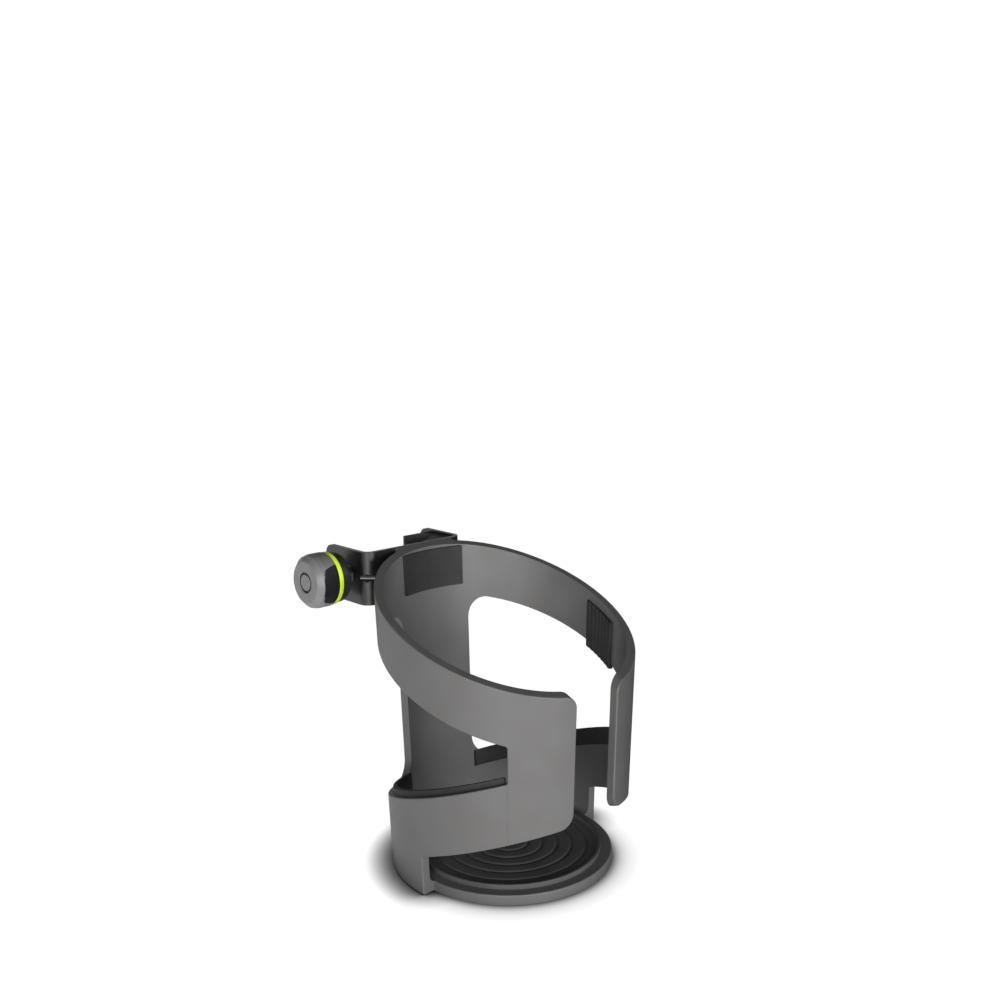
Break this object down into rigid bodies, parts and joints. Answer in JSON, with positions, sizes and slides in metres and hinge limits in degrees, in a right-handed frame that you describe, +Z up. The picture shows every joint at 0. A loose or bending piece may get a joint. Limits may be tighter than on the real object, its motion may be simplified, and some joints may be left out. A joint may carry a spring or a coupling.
{
  "type": "clamp-on bottle holder",
  "caption": "Open moulded bottle holder with two bands, a front gap and rubber grips, held to a vertical tube by a bent steel bracket with a vee jaw and a knob-turned clamp screw.",
  "frame": {"origin": "centre of the underside of the base disc, on the cage's axis", "axes": "+Z up along the bottle; -Y towards the open front gap, +Y towards the clamp bracket; the clamp screw runs along X with its knob at -X"},
  "size_m": [0.1042, 0.1314, 0.1242],
  "materials": {
    "cage_plastic": "fine moulded texture, satin",
    "knob_plastic": "satin",
    "lime_plastic": "semi-gloss",
    "jaw_plastic": "satin",
    "rubber": "matt",
    "black_steel": "satin black powder coat",
    "zinc_steel": "zinc plated",
    "brass": "turned"
  },
  "bodies": {
    "holder": {"cage": "cage_plastic", "lower_lip_left": "rubber", "lower_lip_right": "rubber", "side_pad_left": "rubber", "side_pad_right": "rubber", "rear_pad": "rubber", "base_mat": "rubber", "clamp_bracket": "black_steel", "fixing_screws": "zinc_steel", "fixing_washers": "zinc_steel", "fixing_nuts": "zinc_steel", "vee_jaw": "jaw_plastic", "vee_liner": "rubber", "vee_rivets": "black_steel", "spindle_bush": "zinc_steel"},
    "pressure_shoe": {"swivel_pad": "jaw_plastic", "pad_face": "rubber"},
    "knob": {"clamp_spindle": "zinc_steel", "stub_clip": "black_steel", "knob_insert": "brass", "knob_pin": "zinc_steel", "knob_front": "knob_plastic", "knob_ring": "lime_plastic", "knob_rear": "jaw_plastic"}
  },
  "joints": [
    {"name": "shoe_slide", "type": "slide", "parent": "holder", "child": "pressure_shoe", "axis": [-1, 0, 0], "range_m": [0, 0.019]},
    {"name": "knob_turn", "type": "hinge", "parent": "pressure_shoe", "child": "knob", "pos_m": [-0.0409, 0.066, 0.1128], "axis": [-1, 0, 0], "range_deg": [0, 6842]}
  ],
  "couplings": [
    {"joint": "knob_turn", "follows": "shoe_slide", "rad_per_m": 6283.2}
  ]
}
